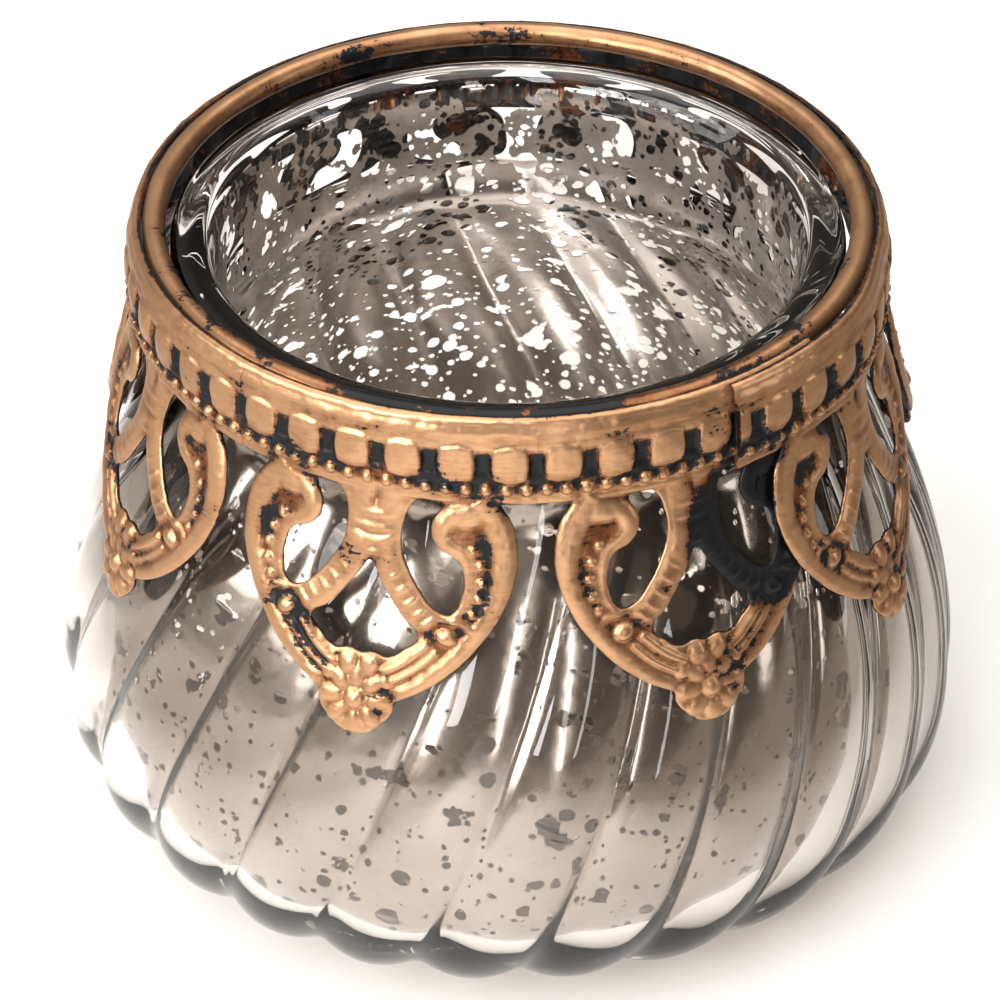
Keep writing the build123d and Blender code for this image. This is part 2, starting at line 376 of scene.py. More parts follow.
def rubbed_copper(name):
    """Black lacquer with copper-gold paste rubbed over it.

    The paste stays off the hollows, goes brown towards them and is ragged and streaked at its edge.
    """
    material, tree, place = new_material(name)
    # Besides the depth of the sheet's hollows, this attribute carries painted shade on the wire
    # ring's inner side and front half.
    hollow = add(tree, "ShaderNodeAttribute", attribute_name="hollow").outputs["Fac"]
    ragged = add(
        tree, "ShaderNodeTexNoise",
        {"Vector": place, "Scale": 1 / (0.8 * MM), "Detail": 4.0, "Roughness": 0.7},
    )
    stroke_place = add(
        tree, "ShaderNodeMapping",
        {"Vector": place, "Rotation": (0.0, radians(24), radians(10)), "Scale": (0.35, 0.35, 2.2)},
    )
    strokes = add(
        tree, "ShaderNodeTexNoise",
        {"Vector": stroke_place.outputs["Vector"], "Scale": 1 / (0.8 * MM), "Detail": 3.0},
    )
    patch = add(tree, "ShaderNodeTexNoise", {"Vector": place, "Scale": 1 / (6 * MM), "Detail": 2.0})
    level = tone = hollow
    for source, edge_weight, tone_weight in (
        (ragged, 1.3, 0.3), (strokes, 0.6, 0.35), (patch, 1.8, 0.7)
    ):
        centred = add(
            tree, "ShaderNodeMath", {0: source.outputs["Fac"], 1: 0.5}, operation="SUBTRACT"
        ).outputs["Value"]
        level = add(
            tree, "ShaderNodeMath", {0: centred, 1: edge_weight, 2: level}, operation="MULTIPLY_ADD"
        ).outputs["Value"]
        tone = add(
            tree, "ShaderNodeMath", {0: centred, 1: tone_weight, 2: tone}, operation="MULTIPLY_ADD"
        ).outputs["Value"]
    rubbed = add(
        tree, "ShaderNodeMapRange",
        {"Value": level, "From Min": 0.46, "From Max": 0.53, "To Min": 1.0, "To Max": 0.0},
    ).outputs["Result"]
    thin = add(tree, "ShaderNodeMapRange", {"Value": tone, "From Min": 0.0, "From Max": 0.5})
    metal = add(
        tree, "ShaderNodeMix",
        {"Factor": thin.outputs["Result"], 6: colours().copper, 7: colours().worn_copper},
        data_type="RGBA",
    )
    colour = add(
        tree, "ShaderNodeMix", {"Factor": rubbed, 6: colours().lacquer, 7: metal.outputs[2]},
        data_type="RGBA",
    )
    metallic = add(tree, "ShaderNodeMapRange", {"Value": rubbed, "To Min": 0.0, "To Max": 0.85})
    gloss = add(tree, "ShaderNodeMapRange", {"Value": rubbed, "To Min": 0.42, "To Max": 0.31})
    grain_height = add(
        tree, "ShaderNodeMath", {0: strokes.outputs["Fac"], 1: ragged.outputs["Fac"]},
        operation="ADD",
    )
    grain = add(
        tree, "ShaderNodeBump",
        {"Height": grain_height.outputs["Value"], "Strength": 0.35, "Distance": 0.06 * MM},
    )
    surface = add(
        tree,
        "ShaderNodeBsdfPrincipled",
        {
            "Base Color": colour.outputs[2],
            "Metallic": metallic.outputs["Result"],
            "Roughness": gloss.outputs["Result"],
            "Specular IOR Level": 0.3,
            "Normal": grain.outputs["Normal"],
        },
    )
    add(tree, "ShaderNodeOutputMaterial", {"Surface": surface.outputs["BSDF"]})
    return material


def matt_paper():
    """Coated background paper: even and matt, with a trace of tooth.

    Reflections of it darken to the holder's sides, as if black flags stood there.
    """
    material, tree, place = new_material("matt background paper")
    tooth = add(tree, "ShaderNodeTexNoise", {"Vector": place, "Scale": 1 / (2 * MM), "Detail": 2.0})
    bump = add(
        tree, "ShaderNodeBump",
        {"Height": tooth.outputs["Fac"], "Strength": 0.1, "Distance": 0.05 * MM},
    )
    place = add(tree, "ShaderNodeSeparateXYZ", {"Vector": place})
    right, left, behind = (
        add(
            tree, "ShaderNodeMapRange",
            {"Value": place.outputs[axis], "From Min": start, "From Max": end},
        ).outputs["Result"]
        for axis, start, end in (("X", 0.0, 0.13), ("X", -0.045, -0.12), ("Y", 0.0, 0.06))
    )
    shade = right
    for corner in (0.75, behind):
        corner = add(
            tree, "ShaderNodeMath", {0: left, 1: corner}, operation="MULTIPLY"
        ).outputs["Value"]
        shade = add(
            tree, "ShaderNodeMath", {0: shade, 1: corner}, operation="MAXIMUM"
        ).outputs["Value"]
    path = add(tree, "ShaderNodeLightPath")
    unseen = add(
        tree, "ShaderNodeMath", {0: 1.0, 1: path.outputs["Is Camera Ray"]}, operation="SUBTRACT"
    ).outputs["Value"]
    shade = add(tree, "ShaderNodeMath", {0: shade, 1: unseen}, operation="MULTIPLY")
    flagged = add(
        tree, "ShaderNodeMix",
        {"Factor": shade.outputs["Value"], 6: colours().floor, 7: linear("#837b73")},
        data_type="RGBA",
    )
    paper = add(
        tree,
        "ShaderNodeBsdfPrincipled",
        {"Base Color": flagged.outputs[2], "Roughness": 0.9, "Normal": bump.outputs["Normal"]},
    )
    add(tree, "ShaderNodeOutputMaterial", {"Surface": paper.outputs["BSDF"]})
    return material


# ---------------------------------------------------------------- bench tools


def clear_bench():
    """Leave edit mode and deselect everything."""
    if bpy.context.object and bpy.context.object.mode != "OBJECT":
        bpy.ops.object.mode_set(mode="OBJECT")
    bpy.ops.object.select_all(action="DESELECT")


def apply_modifier(piece, kind, **settings):
    modifier = piece.modifiers.new(kind.lower(), kind)
    for name, value in settings.items():
        setattr(modifier, name, value)
    with bpy.context.temp_override(object=piece, active_object=piece):
        bpy.ops.object.modifier_apply(modifier=modifier.name)


def join(pieces, name):
    """Join pieces into the first one."""
    clear_bench()
    for piece in pieces:
        piece.select_set(True)
    bpy.context.view_layer.objects.active = pieces[0]
    bpy.ops.object.join()
    pieces[0].name = name
    return pieces[0]


def settle(piece, name, material, body, *nodes, slot=None):
    """Name a finished piece, give it its material if it has none, and let it ride on its body."""
    piece.name = name
    piece.data.name = name
    if material:
        piece.data.materials.clear()
        piece.data.materials.append(material)
    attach(piece, body)
    if nodes:
        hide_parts(*nodes)


def outward(piece):
    """Turn every face of a closed piece outwards."""
    clear_bench()
    piece.select_set(True)
    bpy.context.view_layer.objects.active = piece
    bpy.ops.object.mode_set(mode="EDIT")
    bpy.ops.mesh.select_all(action="SELECT")
    bpy.ops.mesh.normals_make_consistent(inside=False)
    bpy.ops.object.mode_set(mode="OBJECT")


def smooth(piece, angle=None):
    clear_bench()
    piece.select_set(True)
    bpy.context.view_layer.objects.active = piece
    if angle is None:
        bpy.ops.object.shade_smooth()
    else:
        bpy.ops.object.shade_smooth_by_angle(angle=angle)


# ---------------------------------------------------------------- glass and silvering


def crest(z, low_z, low_radius, belly_z, belly, high_z, neck, belly_round):
    """Radius of a ribbed wall over its crests at height z."""
    if z < belly_z:
        down = min(1.0, (belly_z - z) / (belly_z - low_z))
        return low_radius + (belly - low_radius) * (1 - down**belly_round) ** (1 / belly_round)
    up = min(1.0, (z - belly_z) / (high_z - belly_z))
    return neck + (belly - neck) * (1 - up**SHOULDER_ROUND)


def outer_crest(z):
    return crest(z, 0.0, FOOT_RADIUS, BELLY_Z, BELLY_RADIUS, NECK_Z, NECK_RADIUS, BELLY_ROUND)


def cavity_crest(z):
    return crest(
        z, FLOOR_Z, FLOOR_RADIUS, CAVITY_BELLY_Z, CAVITY_RADIUS, MOUTH_Z, MOUTH_RADIUS, CAVITY_ROUND
    )


def rising(low, high, count):
    """Even steps of height, from the first above low up to high."""
    return [low + (high - low) * (i / count) for i in range(1, count + 1)]


def turn_up(rings):
    """Model a turned wall: a circle, then one extrusion a ring, each sized and twisted.

    rings holds (radius, height, twist in degrees). The last one is drawn in to a point.
    """
    clear_bench()
    radius, height, twist = rings[0]
    bpy.ops.mesh.primitive_circle_add(
        vertices=RIBS * SPOKES_PER_RIB, radius=radius * MM, location=(0, 0, height * MM),
        rotation=(0, 0, radians(RIB_START + twist)),
    )
    piece = bpy.context.object
    bpy.ops.object.transform_apply(location=True, rotation=True, scale=True)
    bpy.ops.object.mode_set(mode="EDIT")
    bpy.ops.mesh.select_mode(type="EDGE")
    bpy.ops.mesh.select_all(action="SELECT")
    for last, new in zip(rings, rings[1:]):
        bpy.ops.mesh.extrude_region_move(
            TRANSFORM_OT_translate={"value": (0, 0, (new[1] - last[1]) * MM)}
        )
        size = new[0] / last[0]
        centre = (0, 0, new[1] * MM)
        bpy.ops.transform.resize(value=(size, size, 1), center_override=centre)
        if new[2] != last[2]:
            bpy.ops.transform.rotate(
                value=-radians(new[2] - last[2]), orient_axis="Z", center_override=centre
            )
    bpy.ops.mesh.merge(type="CENTER")
    bpy.ops.object.mode_set(mode="OBJECT")
    return piece


def close_first_ring(piece, radius, height):
    """Draw the first ring in to a closed centre, in steps."""
    clear_bench()
    piece.select_set(True)
    bpy.context.view_layer.objects.active = piece
    bpy.ops.object.mode_set(mode="EDIT")
    bpy.ops.mesh.select_all(action="DESELECT")
    bpy.ops.object.mode_set(mode="OBJECT")
    count = RIBS * SPOKES_PER_RIB
    for vertex in piece.data.vertices[:count]:
        vertex.select = True
    for edge in piece.data.edges:
        edge.select = all(v < count for v in edge.vertices)
    bpy.ops.object.mode_set(mode="EDIT")
    for size in (0.75, 0.62, 0.4):
        bpy.ops.mesh.extrude_region_move(TRANSFORM_OT_translate={"value": (0, 0, 0)})
        bpy.ops.transform.resize(value=(size, size, 1), center_override=(0, 0, height * MM))
    bpy.ops.mesh.extrude_region_move(TRANSFORM_OT_translate={"value": (0, 0, 0)})
    bpy.ops.mesh.merge(type="CENTER")
    bpy.ops.object.mode_set(mode="OBJECT")


def press_ribs(piece, first_ring, last_ring, strength_mm, fade):
    """Press valleys between the ribs over a run of rings, by a weighted displacement."""
    spokes = RIBS * SPOKES_PER_RIB
    group = piece.vertex_groups.new(name="valleys")
    for ring in range(first_ring, last_ring + 1):
        start = ring * spokes
        depth = fade(piece.data.vertices[start].co.z / MM)
        if depth <= 0:
            continue
        for step in range(SPOKES_PER_RIB):
            across = 2 * step / SPOKES_PER_RIB - 1
            weight = depth * across * across
            rows = list(range(start + step, start + spokes, SPOKES_PER_RIB))
            group.add(rows, weight, "REPLACE")
    apply_modifier(
        piece, "DISPLACE", strength=strength_mm * MM, mid_level=0.0, direction="NORMAL",
        vertex_group="valleys",
    )
    piece.vertex_groups.clear()


def outer_fade(z):
    return max(0.0, min(1.0, 0.1 + z / 3.5, (NECK_Z - z) / 18))


def inner_fade(z):
    return max(0.0, min(1.0, (z - FLOOR_Z) / 5, (MOUTH_Z - z) / 16))


def twist_at(z):
    return RIB_TWIST * z / NECK_Z


def outer_rings():
    foot = [0.0, 0.25, 0.8, 1.7, 2.9, 4.4, 6.2, 8.2, 10.5, 13.0, 15.8]
    return [(outer_crest(z), z, twist_at(z)) for z in foot + rising(17.0, NECK_Z, 24)]


def mouth_profile():
    """The flared top of the mouth, from the lip's crown down to the neck."""
    top = LIP_Z
    return [
        (MOUTH_RADIUS + 1.3, top - 0.55), (MOUTH_RADIUS + 0.85, top - 0.95),
        (MOUTH_RADIUS + 0.5, top - 1.5), (MOUTH_RADIUS + 0.2, top - 2.3), (MOUTH_RADIUS, top - 4.0),
    ]


def lip_rings():
    top = LIP_Z
    twist = twist_at(NECK_Z)
    neck = [(NECK_RADIUS, z, twist) for z in (63.5, 66.0, top - 5.8)]
    lip = [
        (NECK_RADIUS + 0.3, top - 5.0), (LIP_RADIUS - 0.3, top - 4.0), (LIP_RADIUS, top - 3.2),
        (LIP_RADIUS, top - 1.3), (LIP_RADIUS - 0.12, top - 0.6), (LIP_RADIUS - 0.5, top - 0.12),
        (LIP_RADIUS - 1.1, top), (LIP_RADIUS - 2.2, top - 0.1),
    ]
    return neck + [(radius, z, twist) for radius, z in lip + mouth_profile()]


def cavity_rings(inset=0.0):
    """Rings of the cavity's wall from the neck down to the floor."""
    corner = [FLOOR_Z, 6.1, 6.5, 7.2, 8.3, 9.8, 11.6, 13.8, 16.4, 19.2]
    heights = reversed(corner + rising(20.0, MOUTH_Z, 19))
    return [(cavity_crest(z) - inset, z, twist_at(z)) for z in heights]


def model_glass_bowl():
    outer, lip = outer_rings(), lip_rings()
    neck_run = [(MOUTH_RADIUS, z, twist_at(NECK_Z)) for z in (66.0, 62.5)]
    inner = cavity_rings()
    drop = [(FLOOR_RADIUS * share, FLOOR_Z, inner[-1][2]) for share in FLOOR_SHARES]
    bowl = turn_up(outer + lip + neck_run + inner + drop)
    close_first_ring(bowl, *outer[0][:2])
    outward(bowl)
    press_ribs(bowl, 0, len(outer) - 1, -sizes().rib_depth / MM, outer_fade)
    first = len(outer) + len(lip) + len(neck_run)
    press_ribs(bowl, first, first + len(inner) - 1, sizes().cavity_rib_depth / MM, inner_fade)
    apply_modifier(bowl, "SUBSURF", levels=1, render_levels=1)
    smooth(bowl)
    return bowl


def model_silvering():
    gap = sizes().coat_gap / MM
    twist = twist_at(NECK_Z)
    neck_run = [(radius - gap, z, twist) for radius, z in mouth_profile()[2:]]
    neck_run += [(MOUTH_RADIUS - gap, z, twist) for z in (66.0, 62.5)]
    inner = [(radius, z + (gap if z == FLOOR_Z else 0), t) for radius, z, t in cavity_rings(gap)]
    drop = [(FLOOR_RADIUS * share, FLOOR_Z + gap, inner[-1][2]) for share in FLOOR_SHARES]
    coat = turn_up(neck_run + inner + drop)
    outward(coat)
    first = len(neck_run)
    press_ribs(coat, first, first + len(inner) - 1, -sizes().cavity_rib_depth / MM, inner_fade)
    apply_modifier(coat, "SUBSURF", levels=1, render_levels=1)
    coat.data.materials.append(silvering_seen_through_glass())
    coat.data.materials.append(silvering_seen_inside())
    apply_modifier(coat, "SOLIDIFY", thickness=0.08 * MM, offset=-1.0, material_offset=1)
    smooth(coat)
    return coat


# ---------------------------------------------------------------- stamped collar, flat
# The strip is modelled flat and in millimetres: x along the strip, y its height on the
# finished holder, and z outwards. It is then rolled round the neck.


def flat_bead(x, y, across, up, height, turn=0.0):
    """An oval bead, sunk a little into the sheet."""
    clear_bench()
    bpy.ops.mesh.primitive_uv_sphere_add(
        segments=20, ring_count=12, radius=1.0, location=(x, y, PLATE - SUNK),
        rotation=(0, 0, radians(turn)), scale=(across, up, height),
    )
    bpy.ops.object.transform_apply(location=True, rotation=True, scale=True)
    return bpy.context.object


def flat_ridge(points, height):
    """A rounded ridge along (x, y, half width) points."""
    clear_bench()
    bpy.ops.curve.primitive_bezier_curve_add()
    ridge = bpy.context.object
    line = ridge.data.splines[0]
    line.bezier_points.add(len(points) - len(line.bezier_points))
    for knot, (x, y, half_width) in zip(line.bezier_points, points):
        knot.handle_left_type = knot.handle_right_type = "AUTO"
        knot.co = (x, y, 0)
        knot.radius = half_width
    line.resolution_u = 8
    ridge.data.bevel_depth = 1.0
    ridge.data.bevel_resolution = 4
    ridge.data.use_fill_caps = True
    ridge.data.dimensions = "3D"
    bpy.ops.object.convert(target="MESH")
    widest = max(point[2] for point in points)
    bpy.ops.transform.resize(value=(1, 1, height / widest), center_override=(0, 0, 0))
    bpy.ops.transform.translate(value=(0, 0, PLATE - SUNK))
    bpy.ops.object.transform_apply(location=True, rotation=True, scale=True)
    return ridge


def flat_plate(outline, holes):
    """The sheet itself: a filled outline with its holes, given its thickness."""
    clear_bench()
    bpy.ops.curve.primitive_bezier_circle_add()
    plate = bpy.context.object
    shape = plate.data
    shape.dimensions = "2D"
    shape.fill_mode = "BOTH"
    shape.splines.clear()
    for points in [outline] + holes:
        loop = shape.splines.new("BEZIER")
        loop.bezier_points.add(len(points) - 1)
        for knot, (x, y) in zip(loop.bezier_points, points):
            knot.co = (x, y, 0)
            knot.handle_left_type = knot.handle_right_type = "AUTO"
        loop.use_cyclic_u = True
        loop.resolution_u = 8
    shape.extrude = PLATE / 2
    bpy.ops.object.convert(target="MESH")
    bpy.ops.transform.translate(value=(0, 0, PLATE / 2))
    bpy.ops.object.transform_apply(location=True, rotation=True, scale=True)
    return plate


def both_hands(points):
    """A shape's points and those of its mirror image."""
    return [points, [(-p[0], *p[1:]) for p in points]]


def pendant_sheet():
    edge = [
        (12.0, 67.0), (12.4, 65.6), (13.9, 64.0), (15.0, 61.2), (15.3, 57.8), (14.4, 53.8),
        (12.4, 50.1), (9.6, 46.8), (6.4, 44.3), (4.3, 43.2), (4.1, 41.9), (2.9, 40.3), (1.4, 39.2),
    ]
    outline = edge + [(0, 38.95)] + [(-x, y) for x, y in reversed(edge)]
    side_hole = [
        (5.3, 65.9), (4.0, 65.2), (3.1, 63.0), (3.1, 60.3), (4.2, 57.6), (6.0, 55.0), (7.7, 53.5),
        (9.1, 53.3), (9.9, 55.0), (9.9, 57.6), (9.0, 59.4), (7.3, 60.2), (6.2, 61.5), (6.0, 63.2),
        (6.8, 64.9), (6.6, 65.8),
    ]
    heart_half = [
        (0, 58.0), (1.2, 57.2), (2.4, 54.6), (4.2, 52.3), (5.9, 50.6), (4.6, 49.0), (2.9, 47.9),
    ]
    heart = heart_half + [(1.2, 48.2), (0, 47.9), (-1.2, 48.2)]
    heart += [(-x, y) for x, y in reversed(heart_half[1:])]
    return flat_plate(outline, both_hands(side_hole) + [heart])


def pendant_relief():
    """The raised work of one pendant, from the band down to the flower."""
    pieces = []
    outer_rim = [
        (10.6, 66.0, 1.45), (12.2, 63.9, 1.42), (13.55, 61.0, 1.38), (13.95, 57.8, 1.32),
        (13.15, 54.2, 1.22), (11.5, 50.9, 1.05), (9.1, 47.9, 0.95), (6.4, 45.4, 0.9),
        (4.2, 44.0, 0.8),
    ]
    hook = [
        (10.6, 65.0, 1.1), (8.7, 64.4, 1.15), (7.3, 63.2, 1.1), (7.15, 61.9, 0.95),
        (8.1, 60.9, 0.7), (9.4, 60.1, 0.55), (10.3, 58.3, 0.45), (10.5, 56.0, 0.42),
        (10.1, 54.1, 0.42), (9.0, 52.9, 0.45), (7.6, 53.0, 0.4),
    ]
    crossbar = [(9.0, 52.8, 0.45), (10.4, 52.6, 0.45), (11.7, 51.6, 0.5)]
    arm = [
        (0.9, 60.8, 1.6), (2.1, 57.8, 1.55), (3.7, 55.3, 1.45), (5.5, 53.3, 1.4), (7.2, 51.9, 1.2),
    ]
    inner_ridge = [(7.1, 50.2, 0.55), (5.7, 48.7, 0.6), (4.0, 47.2, 0.6), (2.4, 46.2, 0.5)]
    middle_ridge = [(8.1, 49.3, 0.38), (6.6, 47.6, 0.42), (4.7, 46.1, 0.42), (3.0, 45.1, 0.4)]
    for line, height in (
        (outer_rim, 0.62), (hook, 0.6), (crossbar, 0.5), (arm, 0.5), (inner_ridge, 0.6),
        (middle_ridge, 0.52),
    ):
        pieces += [flat_ridge(points, height) for points in both_hands(line)]
    for side in (1, -1):
        for x, y, size in (
            (10.5, 60.5, 0.5), (11.5, 58.8, 0.55), (11.9, 57.0, 0.58), (11.8, 55.2, 0.56),
            (11.3, 53.5, 0.52),
        ):
            pieces.append(flat_bead(side * x, y, size, size, 0.55))
        pieces.append(flat_bead(side * 8.9, 50.9, 1.25, 0.9, 0.75, turn=-25 * side))
        pieces.append(flat_bead(side * 9.6, 64.4, 2.6, 1.6, 0.62))
        # Soft ripples across the arm.
        for x, y in ((2.6, 57.0), (3.5, 55.6), (4.5, 54.3), (5.6, 53.2), (6.6, 52.3)):
            pieces.append(flat_bead(side * x, y, 1.3, 0.42, 0.58, turn=38 * side))
        pieces.append(flat_bead(side * 1.15, 46.7, 1.2, 1.4, 0.66, turn=-14 * side))
        pieces.append(flat_bead(side * 3.0, 45.3, 1.1, 0.9, 0.6, turn=-40 * side))
    stem = [(0, 67.0, 3.3), (0, 64.2, 2.95), (0, 61.6, 2.8), (0, 59.6, 2.6)]
    pieces.append(flat_ridge(stem, 0.45))
    for y in (63.4, 61.9, 60.5, 59.2):
        pieces.append(flat_bead(0, y, 2.5, 0.7, 0.49))
    pieces.append(flat_bead(0, FLOWER_Z, 1.3, 1.3, 1.0))
    for angle in range(-90, 270, 45):
        x, y = 2.45 * cos(radians(angle)), FLOWER_Z + 2.45 * sin(radians(angle))
        pieces.append(flat_bead(x, y, 1.6, 1.12, 0.66, turn=angle))
    return pieces


def flat_pillow(x, y, across, up, rise):
    """A soft rectangular dome."""
    clear_bench()
    bpy.ops.mesh.primitive_cube_add(size=1, location=(0, 0, 0))
    pillow = bpy.context.object
    bpy.ops.object.mode_set(mode="EDIT")
    bpy.ops.mesh.subdivide(number_cuts=7)
    bpy.ops.object.mode_set(mode="OBJECT")
    apply_modifier(pillow, "CAST", factor=0.62, cast_type="SPHERE")
    clear_bench()
    pillow.select_set(True)
    bpy.ops.transform.resize(value=(across, up, 2 * (rise + SUNK)), center_override=(0, 0, 0))
    bpy.ops.transform.translate(value=(x, y, PLATE - SUNK))
    bpy.ops.object.transform_apply(location=True, rotation=True, scale=True)
    return pillow


def band_relief(first_x, last_x):
    """The band's borders, its row of pillows and its row of beads."""
    clear_bench()
    middle = (first_x + last_x) / 2
    bpy.ops.mesh.primitive_cube_add(
        size=1, location=(middle, (BAND_TOP_Z + BAND_BOTTOM_Z) / 2, PLATE / 2),
        scale=(last_x - first_x, BAND_TOP_Z - BAND_BOTTOM_Z, PLATE),
    )
    bpy.ops.object.transform_apply(location=True, rotation=True, scale=True)
    pieces = [bpy.context.object]
    for y, half_width, rise in (
        (BAND_TOP_Z - 0.45, 0.45, 0.45), (BAND_TOP_Z - 1.5, 1.35, 0.42), (66.15, 0.6, 0.46),
        (72.6, 1.05, 0.44), (68.6, 0.75, 0.44), (67.4, 1.1, 0.5),
    ):
        line = [(first_x, y, half_width), (middle, y, half_width), (last_x, y, half_width)]
        pieces.append(flat_ridge(line, rise))
    pitch = REPEAT / PILLOWS
    for i in range(-4, 4):
        pieces.append(flat_pillow((i + 0.5) * pitch, PILLOW_Z, pitch - 1.75, 4.3, 0.62))
    pitch = REPEAT / BEADS
    for i in range(-10, 10):
        pieces.append(flat_bead((i + 0.5) * pitch, BEAD_Z, 0.82, 0.85, 0.98))
    return pieces


def model_flat_repeat():
    """One repeat of the strip with its pendant, welded into a single stamped skin."""
    half = REPEAT / 2 + 3.2
    pieces = [pendant_sheet()] + pendant_relief() + band_relief(-half, half)
    for piece in pieces:
        outward(piece)
    repeat = join(pieces, "flat_repeat")
    apply_modifier(repeat, "REMESH", mode="VOXEL", voxel_size=sizes().stamping_grid / MM)
    apply_modifier(repeat, "SMOOTH", factor=0.5, iterations=2)
    dents = bpy.data.textures.new("handling dents", "CLOUDS")
    dents.noise_scale = 2.6
    apply_modifier(
        repeat, "DISPLACE", texture=dents, strength=0.32, mid_level=0.5, direction="Z",
        texture_coords="LOCAL",
    )
    points = coordinates(repeat)
    punch = np.exp(-((points[:, 0] / 0.6) ** 2) - ((points[:, 1] - 65.0) / 1.1) ** 2)
    points[:, 2] -= np.where(points[:, 2] > 0.3, 0.3 * punch, 0)
    set_coordinates(repeat, points)
    note_hollows(repeat)
    return repeat


def cut_end(piece, x, keep_low):
    """Cut the strip square across at x and close the cut."""
    clear_bench()
    piece.select_set(True)
    bpy.context.view_layer.objects.active = piece
    bpy.ops.object.mode_set(mode="EDIT")
    bpy.ops.mesh.select_all(action="SELECT")
    bpy.ops.mesh.bisect(
        plane_co=(x, 0, 0), plane_no=(1, 0, 0), use_fill=True, clear_outer=keep_low,
        clear_inner=not keep_low,
    )
    bpy.ops.object.mode_set(mode="OBJECT")


def coordinates(piece):
    flat = np.empty(len(piece.data.vertices) * 3)
    piece.data.vertices.foreach_get("co", flat)
    return flat.reshape(-1, 3)


def set_coordinates(piece, points):
    piece.data.vertices.foreach_set("co", points.ravel())
    piece.data.update()


def write_attribute(piece, name, values):
    layer = piece.data.attributes.new(name, "FLOAT", "POINT")
    layer.data.foreach_set("value", values.astype(np.float32))


def swept(heights, pick):
    """Each cell's highest or lowest neighbour within the cloth's reach."""
    reach = CLOTH_REACH
    padded = np.pad(heights, reach, constant_values=NOTHING)
    result = heights.copy()
    rows, columns = heights.shape
    for i in range(-reach, reach + 1):
        for j in range(-reach, reach + 1):
            if i * i + j * j <= reach * reach:
                moved = padded[reach + i : reach + i + rows, reach + j : reach + j + columns]
                result = pick(result, moved)
    return result


def note_hollows(piece):
    """Keep how deep each point lies below where a rubbing cloth reaches, for the paint to read."""
    points = coordinates(piece)
    low = points.min(0)[:2]
    index = ((points[:, :2] - low) / CLOTH_CELL).astype(int)
    heights = np.full(index.max(0) + 1, NOTHING)
    front = points[:, 2] > 0.2
    np.maximum.at(heights, (index[front, 0], index[front, 1]), points[front, 2])
    touched = swept(swept(heights, np.maximum), np.minimum)
    deep = np.where(heights > -1, touched - heights, 0)
    for axis in (0, 1):
        deep = (np.roll(deep, 1, axis) + 2 * deep + np.roll(deep, -1, axis)) / 4
    depth = deep[index[:, 0], index[:, 1]]
    facing = np.empty(len(points) * 3)
    piece.data.vertex_normals.foreach_get("vector", facing)
    steep = 1 - np.clip(facing.reshape(-1, 3)[:, 2], 0, 1)
    hollow = np.clip(depth / 0.5, 0, 0.95) + 0.32 * steep**1.5
    hollow = np.where(points[:, 2] < 0.3, 0.7, hollow)
    write_attribute(piece, "hollow", np.clip(hollow, 0, 1.3))


def leave_unrubbed(piece, x, y, reach_x, reach_y):
    """Leave an oval patch of the strip black."""
    points = coordinates(piece)
    hollow = piece.data.attributes["hollow"]
    values = np.empty(len(points), np.float32)
    hollow.data.foreach_get("value", values)
    out = np.hypot((points[:, 0] - x) / reach_x, (points[:, 1] - y) / reach_y)
    values += 1.3 * np.clip((1.12 - out) / 0.3, 0, 1)
    hollow.data.foreach_set("value", values.astype(np.float32))


def roll_round_neck(piece, angle, lap=0.0, skew=0.0):
    """Roll the flat strip round the neck and lean its pendant out over the shoulder."""
    points = coordinates(piece)
    across, height, proud = points.T
    below = np.maximum(0.0, BAND_BOTTOM_Z + 0.6 - height)
    slope = (TIP_RADIUS - BAND_INSIDE) / (BAND_BOTTOM_Z - TIP_Z)
    ease = below * below / (below + 1.2)
    inside = BAND_INSIDE + slope * ease * 1.03
    above = np.maximum(0.0, height - BAND_TOP_Z + TOP_ROLL_HEIGHT)
    inside = inside - TOP_ROLL * (above / TOP_ROLL_HEIGHT) ** 2
    across = across + skew * np.clip(below / 25, 0, 1)
    turn = radians(angle) + across / (inside + 0.5)
    if lap:
        start, end = radians(LAP_FLAT_ANGLE), radians(LAP_JOGGLE_ANGLE)
        fall = np.clip((end - turn) / (end - start), 0, 1)
        inside = inside + lap * fall * fall * (3 - 2 * fall)
    radius = inside + proud
    rolled = np.stack([radius * np.sin(turn), -radius * np.cos(turn), height], 1) * MM
    set_coordinates(piece, rolled)


def model_collar(material):
    """Eight repeats, rolled on from the covered end of the strip to the end that laps over it."""
    master = model_flat_repeat()
    for i in range(PENDANTS):
        piece = master.copy()
        piece.data = master.data.copy()
        bpy.context.scene.collection.objects.link(piece)
        angle = FIRST_PENDANT - i * PENDANT_PITCH
        on_top = i == PENDANTS - 1
        left = -REPEAT / 2
        if on_top:
            angle += 360
            left = radians(LAP_END_ANGLE - angle) * (BAND_INSIDE + 0.5)
        cut_end(piece, REPEAT / 2, True)
        cut_end(piece, left, False)
        if i == 0:
            # The cloth missed one arm of the first pendant.
            leave_unrubbed(piece, 7.5, 58.5, 8.4, 8.8)
        # The second pendant is knocked a little to one side.
        roll_round_neck(piece, angle, LAP_STEP if on_top else 0.0, -0.9 if i == 1 else 0.0)
        smooth(piece, radians(50))
        nodes = [f"pendant_{i + 1}"] + (["collar_band"] if i == 0 else [])
        settle(piece, f"collar_repeat_{i + 1}", material, "collar", *nodes, slot="collar")
    bpy.data.objects.remove(master)


# ---------------------------------------------------------------- wire and solder


